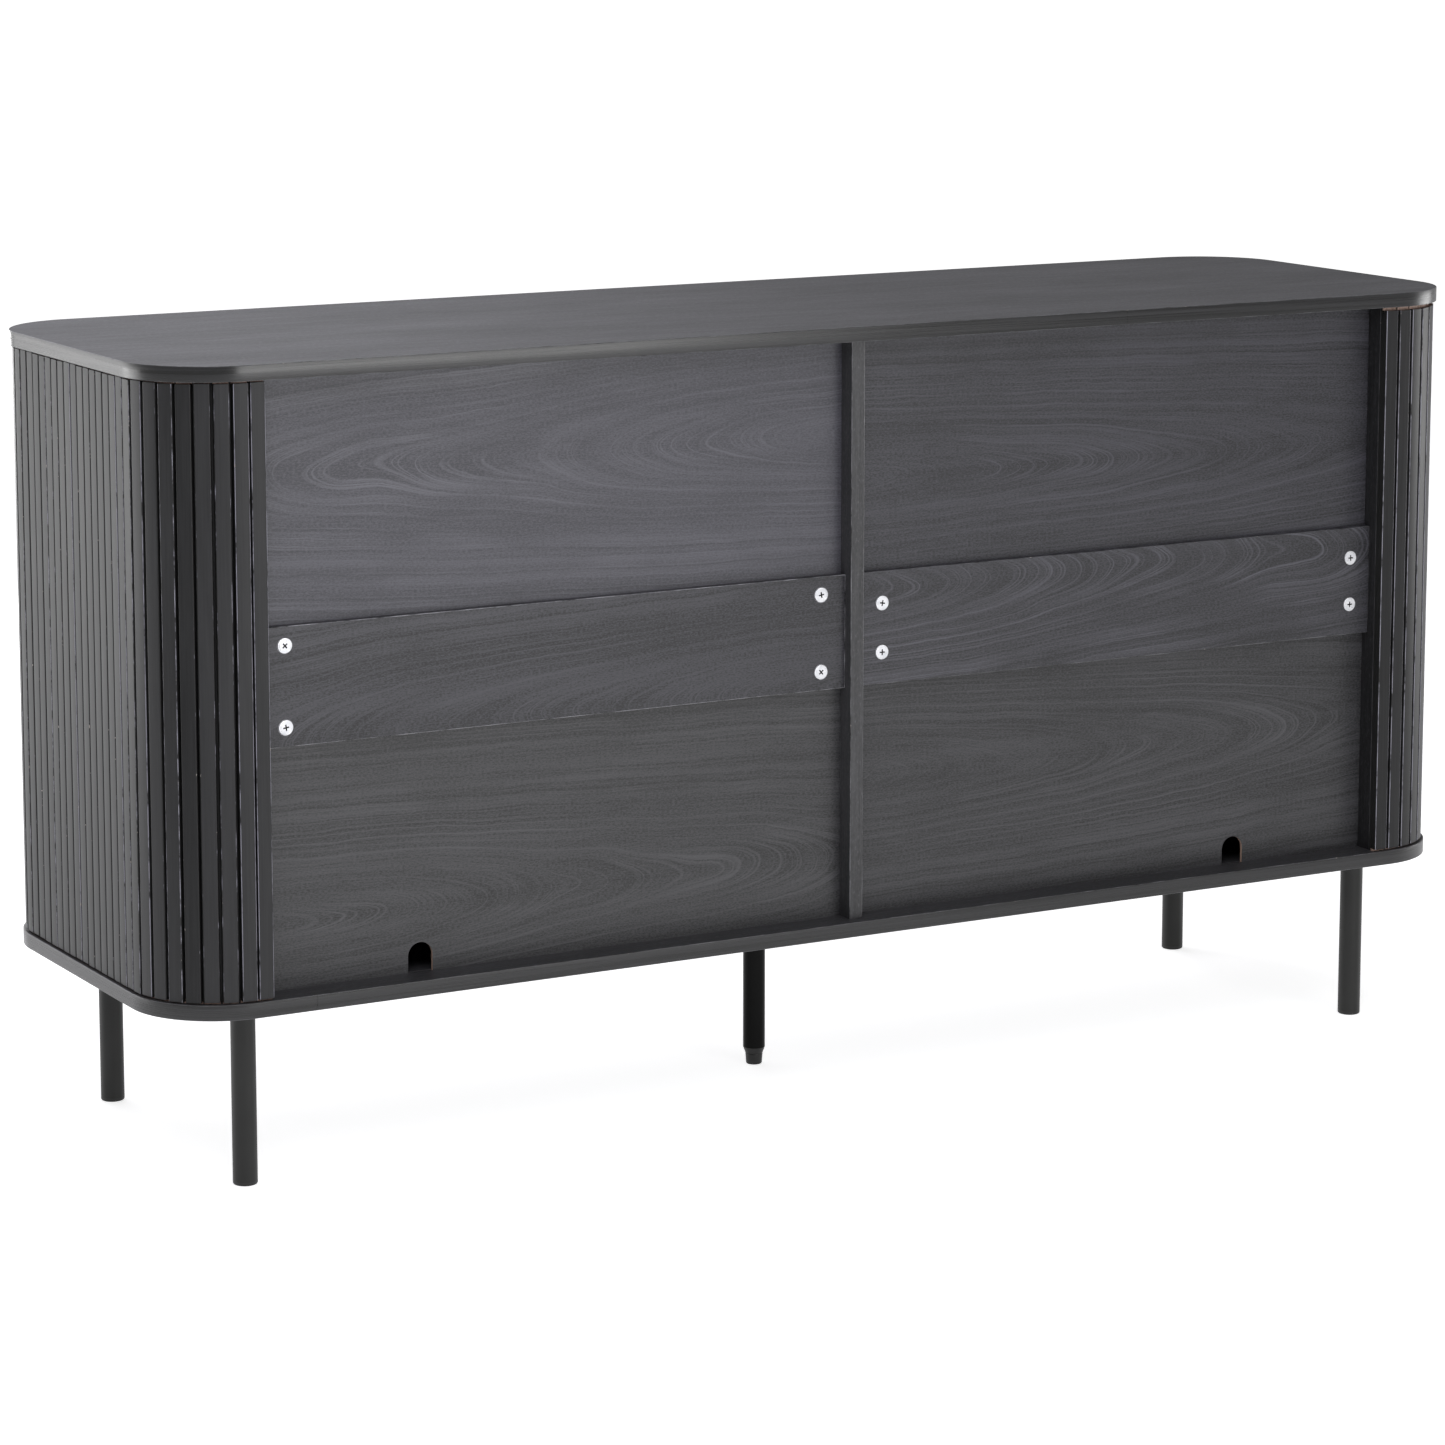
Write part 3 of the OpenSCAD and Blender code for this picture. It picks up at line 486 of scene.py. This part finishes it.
def edge_band(node, z_low, seam_x, materials):
    """Banding swept round a board, with rounded arrises and a butt seam at the back."""
    r = BAND_ROUNDING
    high = arc(r, BOARD_T - r, r, 180, 90, 4)
    low = arc(r, r, r, 270, 180, 4)
    section = [(BAND_T, 0)] + low + high + [(BAND_T, BOARD_T)]
    slots = [EDGE] * len(low) + [FACE] + [EDGE] * len(high) + [FACE]
    bm = bmesh.new()
    rings = []
    for place, normal in outline_path(seam_x):
        rings.append([(*(place - normal * depth), z_low + z) for depth, z in section])
    loft(bm, rings, slots, caps=FACE)
    piece(node + "_moulded", bm, "root", materials, node)


# ---------- slats ----------

def slat_section(width, inset):
    """Section of a slat, its back on x = 0 and its face towards +X, with each side's slot."""
    half, r = width / 2 - inset, SLAT_ARRIS
    face = SLAT_T - inset
    right = arc(face - r, -half + r, r, -90, 0, 6)
    left = arc(face - r, half - r, r, 0, 90, 6)
    points = [(0, -half)] + right + left + [(0, half)]
    # The sides and the outer steps of each arris take the back's slot, painted near-black as
    # shade in the gaps.
    rounding = [BACK, BACK, EDGE, EDGE, EDGE, FACE]
    slots = [BACK] + rounding + [FACE] + rounding[::-1] + [BACK, BACK]
    return points, slots


def add_slat(bm, tone_layer, place, width, spans, tone, wear_and_highlight, tongues=()):
    """One slat of one or more lengths, with bare tongues where they reach into the boards."""
    made = []
    for z_low, z_high in spans:
        rings = []
        for z, inset in ((z_low, SLAT_END_ARRIS), (z_low + SLAT_END_ARRIS, 0),
                         (z_high - SLAT_END_ARRIS, 0), (z_high, SLAT_END_ARRIS)):
            points, slots = slat_section(width, inset)
            rings.append([place @ Vector((x, y, z)) for x, y in points])
        made += loft(bm, rings, slots, caps=BARE)[0]
    half = width / 2
    corners = ((0, -half), (TONGUE_T, -half), (TONGUE_T, half), (0, half))
    for span in tongues:
        rings = [[place @ Vector((x, y, z)) for x, y in corners] for z in span]
        made += loft(bm, rings, [BARE] * 4, caps=BARE)[0]
    for face in made:
        face[tone_layer] = wear_and_highlight if face.material_index == EDGE else tone


def slat_place(x, y, turn, shift):
    """Puts a slat's back at a place in plan, its face at an angle, shifted along its width."""
    return (Matrix.Translation((x, y, 0)) @ Matrix.Rotation(turn, 4, "Z")
            @ Matrix.Translation((0, shift, 0)))


def wrap_place(s):
    """Place and outward angle in degrees on the line of the slats' backs, "s" along it from its
    rear end: straight, round the back corner, along the end, round the front corner, straight."""
    straight = CORNER_X - END_START_X
    bend, flat = END_BEND_R * math.pi / 2, 2 * CORNER_Y
    if s < straight:
        return Vector((END_START_X + s, HALF_D - END_BACK_INSET)), 90
    s -= straight
    if s < bend:
        turn = 90 - math.degrees(s / END_BEND_R)
        return Vector((CORNER_X, CORNER_Y)) + direction(turn) * END_BEND_R, turn
    s -= bend
    if s < flat:
        return Vector((HALF_W - END_BACK_INSET, CORNER_Y - s)), 0
    s -= flat
    if s < bend:
        turn = -math.degrees(s / END_BEND_R)
        return Vector((CORNER_X, -CORNER_Y)) + direction(turn) * END_BEND_R, turn
    s -= bend
    return Vector((CORNER_X - s, -HALF_D + END_BACK_INSET)), -90


def end_slats(side, materials):
    """The slats that wrap one end, each set by hand: small differences of gap, width and tone."""
    rnd = random.Random(END_SEEDS[side])
    length = 2 * (CORNER_X - END_START_X) + math.pi * END_BEND_R + 2 * CORNER_Y
    pitch = length / END_SLATS
    bm = bmesh.new()
    tone_layer = bm.faces.layers.float.new("tone")
    z_low = FLOOR_Z + END_GAP_LOW
    z_high = CEIL_Z - END_GAP_TOP[side]
    tongues = [(FLOOR_Z - TONGUE_H, z_low + TONGUE_LAP), (z_high - TONGUE_LAP, CEIL_Z + TONGUE_H)]
    for i in range(END_SLATS):
        at, turn = wrap_place((i + 0.5) * pitch)
        place = slat_place(at.x, at.y, math.radians(turn), rnd.uniform(-0.42, 0.42) * MM)
        lift = rnd.uniform(-0.4, 0.4) * MM
        width = SLAT_W + rnd.uniform(-0.25, 0.0) * MM
        tone, wear_and_highlight = rnd.random(), rnd.random() ** 3
        if i in RUBBED_AND_HIGHLIT_SLATS[side]:
            wear_and_highlight = max(wear_and_highlight, RUB_AND_HIGHLIGHT)
        add_slat(bm, tone_layer, place, width, [(z_low + lift, z_high + lift)], tone, wear_and_highlight,
                 tongues)
    if side == "left":
        bmesh.ops.scale(bm, vec=(-1, 1, 1), verts=bm.verts)
    node = f"end_slats_{side}"
    piece(node + "_wrapped", bm, "root", materials, node)


def door_slats(side, materials):
    """The slats glued to a door, two of them cut short for the finger pull."""
    rnd = random.Random(DOOR_SEEDS[side])
    low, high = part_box(f"door_{side}_panel")
    pull_low, pull_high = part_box(f"door_{side}_pull")
    outer = high.x if side == "right" else -low.x
    pitch = (high.x - low.x) / DOOR_SLATS
    bm = bmesh.new()
    tone_layer = bm.faces.layers.float.new("tone")
    for i in range(DOOR_SLATS):
        x = outer - (i + 0.5) * pitch
        if i in PULL_SLATS:
            spans = [(DOOR_SLAT_LOW, pull_low.z - PULL_GAP),
                     (pull_high.z + PULL_GAP, DOOR_SLAT_HIGH)]
            shift = 0.0
        else:
            spans = [(DOOR_SLAT_LOW, DOOR_SLAT_HIGH)]
            shift = rnd.uniform(-0.18, 0.18) * MM
        place = slat_place(x, low.y, -math.pi / 2, shift)
        width = SLAT_W - rnd.uniform(0.0, 0.2) * MM
        tone, wear_and_highlight = rnd.random(), 0.5 * rnd.random() ** 3
        add_slat(bm, tone_layer, place, width, spans, tone, wear_and_highlight)
    if side == "left":
        bmesh.ops.scale(bm, vec=(-1, 1, 1), verts=bm.verts)
    node = f"door_{side}_slats"
    piece(node + "_glued", bm, f"door_{side}", materials, node)


# ---------- turned fittings ----------

# Profiles are lists of (radius, height) in mm, and a driver's cross is how far it reaches, half
# the width of its arms, and its depth, in mm.
CAM_PROFILE = ((7.35, -11.6), (7.35, 0.35), (7.15, 0.6), (6.2, 0.66), (6.0, 0.5), (5.6, 0.5),
               (5.4, 0.66), (3.2, 0.66))
CAM_CROSS = (3.0, 0.7, 1.8)
CROSS_TAPER = 0.62


def screw_profile(head_r, head_h, shank_r, shank_len):
    """A pan-head screw: point, shank, and a domed head from height 0 upwards."""
    dome = [(head_r * math.cos(a), head_h * (0.35 + 0.65 * math.sin(a)))
            for a in (0, 0.35, 0.7, 1.0)]
    return [(0.3, -shank_len), (shank_r, -shank_len + 2.2), (shank_r, 0), (head_r, 0)] + dome


def lathe(bm, place, profile, steps):
    """Turns a profile round the Z axis of "place", and returns its rows of corners."""
    rings = []
    for radius, height in profile:
        spots = arc(0, 0, radius * MM, 0, 360 - 360 / steps, steps - 1)
        rings.append([place @ Vector((x, y, height * MM)) for x, y in spots])
    return loft(bm, rings, [0] * steps)[1]


def turned_face(bm, place, profile, cross, steps):
    """A turned head, closed at its face by a plate with a driver's cross sunk in it. The cross
    has material 1."""
    rows = lathe(bm, place, profile, steps)
    bm.faces.new(rows[0])
    reach, width, depth = cross
    height = profile[-1][1]
    outline = []
    for quarter in range(4):
        turn = Matrix.Rotation(quarter * math.pi / 2, 4, "Z")
        for x, y in ((reach, -width), (reach, width), (width, width)):
            outline.append(turn @ Vector((x * MM, y * MM, 0)))
    top = [bm.verts.new(place @ (p + Vector((0, 0, height * MM)))) for p in outline]
    sunk = [bm.verts.new(place @ (p * CROSS_TAPER + Vector((0, 0, (height - depth) * MM))))
            for p in outline]
    rim = []
    for row in (rows[-1], top):
        for vert, after in zip(row, row[1:] + row[:1]):
            rim.append(bm.edges.get((vert, after)) or bm.edges.new((vert, after)))
    bmesh.ops.triangle_fill(bm, use_beauty=True, edges=rim)
    for i in range(len(outline)):
        j = (i + 1) % len(outline)
        bm.faces.new((top[i], top[j], sunk[j], sunk[i])).material_index = 1
    bm.faces.new(sunk).material_index = 1


def spin(rnd):
    """A screw's chance turn about its own axis."""
    return Matrix.Rotation(rnd.uniform(0, math.pi), 4, "Z")


def plate_screws(materials):
    """Four pan-head screws in the plate over each leg, heads down."""
    plates_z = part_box("leg_plates")[0].z
    bm = bmesh.new()
    rnd = random.Random(8)
    profile = screw_profile(head_r=3.75, head_h=2.0, shank_r=1.95, shank_len=9.5)
    for leg in PLATED_LEGS:
        low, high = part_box(leg)
        x, y = (low.x + high.x) / 2, (low.y + high.y) / 2
        for sx in (-1, 1):
            for sy in (-1, 1):
                at = Matrix.Translation((x + sx * PLATE_HOLE, y + sy * PLATE_HOLE, plates_z))
                place = at @ Matrix.Rotation(math.pi, 4, "X") @ spin(rnd)
                turned_face(bm, place, profile, (1.6, 0.4, 1.2), 28)
    piece("leg_plate_screws_turned", bm, "root", materials, "leg_plate_screws")


def track_screws(materials):
    """The screws that hold the two door tracks, heads in the middle of each track."""
    bm = bmesh.new()
    rnd = random.Random(9)
    profile = screw_profile(head_r=3.0, head_h=1.3, shank_r=1.45, shank_len=8.0)
    for track in ("door_track_bottom", "door_track_top"):
        low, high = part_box(track)
        if track == "door_track_bottom":
            base, turn = low.z + TRACK_BASE, 0
        else:
            base, turn = high.z - TRACK_BASE, math.pi
        for x in TRACK_SCREW_X:
            at = Matrix.Translation((x, (low.y + high.y) / 2, base))
            place = at @ Matrix.Rotation(turn, 4, "X") @ spin(rnd)
            turned_face(bm, place, profile, (1.3, 0.35, 0.8), 28)
    piece("track_screws_turned", bm, "root", materials, "track_screws")


def rail_cams(materials):
    """The eight cam locks on the back rails, where the rails' pockets are."""
    bm = bmesh.new()
    rnd = random.Random(5)
    for side, sign in SIDES.items():
        low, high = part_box(f"back_rail_{side}")
        ends = (min(abs(low.x), abs(high.x)) + RAIL_CAM_INNER,
                max(abs(low.x), abs(high.x)) - RAIL_CAM_OUTER)
        for x in ends:
            for up in (-1, 1):
                z = MID_Z + up * RAIL_CAM_SPREAD[side]
                turn = math.radians(rnd.choice((0, 0, 8, -10, 40)))
                place = (Matrix.Translation((sign * x, high.y, z))
                         @ Matrix.Rotation(-math.pi / 2, 4, "X") @ Matrix.Rotation(turn, 4, "Z"))
                turned_face(bm, place, CAM_PROFILE, CAM_CROSS, 48)
    piece("rail_cam_locks_turned", bm, "root", materials, "rail_cam_locks")


# ---------- CAD nodes: arrises and materials ----------

def soften(node, width, arris):
    """Rounds a CAD node's edges with modifiers, which leave its mesh as it is. "arris" is the
    material of the rounded edges, if they have their own."""
    obj = NODES[node]
    weld = obj.modifiers.new("weld", "WELD")
    weld.merge_threshold = 0.01 * MM
    flat = obj.modifiers.new("flat", "DECIMATE")
    flat.decimate_type = "DISSOLVE"
    flat.angle_limit = math.radians(0.5)
    bevel = obj.modifiers.new("bevel", "BEVEL")
    bevel.width = width
    bevel.segments = 2
    bevel.limit_method = "ANGLE"
    bevel.angle_limit = math.radians(ROUNDED_ANGLE)
    bevel.use_clamp_overlap = False
    bevel.harden_normals = False
    if arris is not None:
        obj.data.materials.append(arris)
        bevel.material = len(obj.data.materials) - 1


def finish_node(node, material, width=0.0, arris=None):
    """Gives a CAD node its material and slot, and rounds its edges where a width is given."""
    obj = NODES[node]
    obj.data.materials.clear()
    obj.data.materials.append(material)
    if width:
        soften(node, width, arris)


# ---------- light, floor and camera ----------

def softbox(name, place, target, size, power, colour=(1, 1, 1)):
    light = bpy.data.lights.new(name, "AREA")
    light.shape = "RECTANGLE"
    light.size, light.size_y = size
    light.energy = power
    light.color = colour
    lamp = bpy.data.objects.new(name, light)
    lamp.location = place
    lamp.rotation_mode = "QUATERNION"
    lamp.rotation_quaternion = (Vector(target) - Vector(place)).to_track_quat("-Z", "Y")
    lamp.visible_camera = False
    bpy.context.scene.collection.objects.link(lamp)


def studio():
    """White to the camera, dimmer in reflections, dim as soft light, with softboxes."""
    world = bpy.data.worlds.new("studio")
    bpy.context.scene.world = world
    world.use_nodes = True
    tree = world.node_tree
    background = tree.nodes["Background"]
    background.inputs["Color"].default_value = (1, 1, 1, 1)
    path = tree.nodes.new("ShaderNodeLightPath")
    strength = background.inputs["Strength"]
    for ray, level in (("Is Diffuse Ray", 0.08), ("Is Glossy Ray", 0.38)):
        choice = tree.nodes.new("ShaderNodeMapRange")
        tree.links.new(path.outputs[ray], choice.inputs["Value"])
        choice.inputs["To Max"].default_value = level
        tree.links.new(choice.outputs[0], strength)
        strength = choice.inputs["To Min"]
    strength.default_value = 1.0

    cool = (0.98, 0.98, 1.05)
    softbox("top_box", (0.4, 0.4, 3.2), (0.2, 0, 0.6), (3.2, 2.4), 40)
    softbox("back_low_box", (-0.55, 3.0, 0.7), (0.2, 0, 0.5), (1.5, 0.8), 19)
    softbox("back_box", (1.4, 2.1, 2.3), (0.5, 0.2, 0.6), (1.4, 1.2), 26, cool)
    softbox("front_box", (1.0, -3.0, 1.5), (0.4, 0, 0.79), (1.4, 1.6), 9, cool)
    softbox("front_low_box", (-0.3, -3.2, 0.42), (0, 0, 0.45), (2.4, 0.6), 22)
    softbox("front_high_box", (0.2, -3.0, 2.7), (0.2, 0, 0.79), (3.2, 1.6), 30, cool)
    softbox("end_box", (2.3, -2.6, 0.6), (0.75, 0, 0.4), (1.6, 1.1), 12)
    softbox("right_low_box", (3.0, -1.9, 0.26), (0.75, 0, 0.3), (1.6, 0.5), 14)
    softbox("left_low_box", (-3.2, 0.5, 0.4), (-0.75, 0, 0.4), (1.2, 0.6), 13)


def floor(material):
    bm = bmesh.new()
    steps = 48
    ring = [bm.verts.new((FLOOR_R * math.cos(2 * math.pi * i / steps),
                          FLOOR_R * math.sin(2 * math.pi * i / steps), 0)) for i in range(steps)]
    bm.faces.new(ring)
    mesh = bpy.data.meshes.new("studio_floor")
    bm.to_mesh(mesh)
    bm.free()
    mesh.materials.append(material)
    made = bpy.data.objects.new("studio_floor", mesh)
    bpy.context.scene.collection.objects.link(made)


def camera():
    """Behind the cabinet and to the side of its right-hand end, a little above its top."""
    azimuth, elevation = math.radians(CAMERA_AZIMUTH), math.radians(CAMERA_ELEVATION)
    outward = Vector((math.sin(azimuth) * math.cos(elevation),
                      -math.cos(azimuth) * math.cos(elevation), math.sin(elevation)))
    data = bpy.data.cameras.new("camera")
    data.sensor_width = 36
    data.lens = CAMERA_LENS
    data.shift_y = CAMERA_SHIFT
    data.clip_end = 100
    made = bpy.data.objects.new("camera", data)
    made.location = CAMERA_PLACE
    made.rotation_mode = "QUATERNION"
    made.rotation_quaternion = (-outward).to_track_quat("-Z", "Y")
    bpy.context.scene.collection.objects.link(made)
    bpy.context.scene.camera = made


# ---------- assembly ----------

camera()
studio()
floor(floor_paint("floor_paint"))
bpy.context.scene.view_settings.view_transform = "Standard"

BOARD = black_wood("board_black")
# The top board's black is painted lighter and bluer than the other boards': painted sheen for the
# light the top catches at a low angle.
TOP = black_wood("top_black", dark=0.025, light=0.056, rough=(0.48, 0.62), cool=0.14, gloss=0.45)
UPRIGHT = black_wood("upright_black", axis="z", dark=0.009, light=0.024, rough=(0.42, 0.55),
                     cool=0.06, gloss=0.2)
DIVIDER = black_wood("divider_black", axis="z", light=0.052, rough=(0.38, 0.50), cool=0.06)
BAND = streaked_band("edge_black")
FOIL = slat_foil("slat_foil")
SLAT_EDGE = slat_edge("slat_arris")
# Arris materials: the number is how pale each arris is painted, for rubbing and a painted
# highlight.
ARRIS = worn_and_highlit_arris("upright_arris", "z", 0.08)
DIVIDER_ARRIS = worn_and_highlit_arris("divider_arris", "z", 0.24)
BOARD_ARRIS = worn_and_highlit_arris("board_arris", "x", 0.22)
BAND_ARRIS = worn_and_highlit_arris("band_arris", "x", 0.14)
RAW = raw_board("raw_board")
LEG = satin_paint("leg_black", 0.018, 0.40, gloss=0.3)
# A nearly black copy of the legs' paint: painted shade for the centre leg, which stands in the
# cabinet's shadow.
CENTRE_LEG_SHADED = satin_paint("centre_leg_black", 0.002, 0.26, gloss=0.1)
PLASTIC = satin_paint("black_plastic", 0.014, 0.42, texture=0.2)
FOOT = satin_paint("foot_plastic", 0.009, 0.36, texture=0.15)
PULL = satin_paint("pull_black", 0.012, 0.40, texture=0.15)
# Near-black paint for the end backings, and painted shade on the slats' sides in the gaps.
BACKING_AND_GAP_SHADE = satin_paint("backing_black", 0.006, 0.6)
SHADOW = satin_paint("recess_black", 0.01, 0.6)
ZINC = zinc_plate("zinc")
DIE_CAST = zinc_plate("cam_zinc", metal=0.45)
BEECH = beech_wood("beech")
RUBBER = clear_rubber("clear_rubber")

edge_band("top_edge_band", CEIL_Z, TOP_SEAM_X, [BAND, BAND_ARRIS])
edge_band("bottom_edge_band", FLOOR_Z - BOARD_T, BOTTOM_SEAM_X, [BAND, BAND_ARRIS])
for side in SIDES:
    end_slats(side, [FOIL, SLAT_EDGE, RAW, BACKING_AND_GAP_SHADE])
    door_slats(side, [FOIL, SLAT_EDGE, RAW, BACKING_AND_GAP_SHADE])
rail_cams([DIE_CAST, SHADOW])
plate_screws([ZINC, SHADOW])
track_screws([ZINC, SHADOW])

finish_node("top_board", TOP)
finish_node("bottom_board", BOARD)
finish_node("centre_divider", DIVIDER, 0.6 * MM, DIVIDER_ARRIS)
# Each sheet's lift and blue are painted light: the sheet is painted lighter or bluer for the
# light that falls on it.
for name, (x, z, lift, cool) in SHEET_FIGURES.items():
    sheet = figured_wood(f"sheet_{name}", (x, z), WOOD_DARK + lift, WOOD_LIGHT + lift,
                         WOOD_FIGURE + lift, cool, cut=SAWN)
    finish_node(f"back_sheet_{name}", sheet)
for side, (x, z, figure, pale_rub_and_highlight) in RAIL_FIGURES.items():
    rail = figured_wood(f"rail_{side}", (x, z), WOOD_DARK, WOOD_LIGHT, figure, RAIL_COOL)
    # A rail's arrises are painted pale for rubbing and a painted highlight of the lit top arris,
    # the right rail more.
    edge = worn_and_highlit_arris(f"rail_arris_{side}", "x", pale_rub_and_highlight)
    finish_node(f"back_rail_{side}", rail, 0.6 * MM, edge)
for side in SIDES:
    finish_node(f"shelf_{side}", BOARD, 0.5 * MM, BOARD_ARRIS)
    finish_node(f"side_panel_{side}", UPRIGHT, 0.5 * MM, ARRIS)
    finish_node(f"end_backing_{side}", BACKING_AND_GAP_SHADE)
    finish_node(f"door_{side}_panel", UPRIGHT, 0.4 * MM, ARRIS)
    finish_node(f"door_{side}_pull", PULL, 0.6 * MM)
    for part in ("guides", "housings", "roller_outer", "roller_inner"):
        finish_node(f"door_{side}_{part}", PLASTIC, 0.4 * MM)
    finish_node(f"door_{side}_axles", ZINC)
    finish_node(f"leg_front_{side}", LEG)
    finish_node(f"leg_back_{side}", LEG)
finish_node("door_track_top", PLASTIC, 0.3 * MM)
finish_node("door_track_bottom", PLASTIC, 0.3 * MM)
finish_node("centre_leg_tube", CENTRE_LEG_SHADED)
finish_node("centre_leg_cap", FOOT)
finish_node("leveller_foot", FOOT, 0.5 * MM)
finish_node("leg_glides", PLASTIC)
for node in ("leg_plates", "leg_studs", "rail_cam_bolts", "panel_cam_locks", "panel_cam_bolts",
             "shelf_pins"):
    finish_node(node, ZINC, 0.25 * MM)
finish_node("wood_dowels", BEECH, 0.5 * MM)
finish_node("door_bumpers", RUBBER, 0.5 * MM)
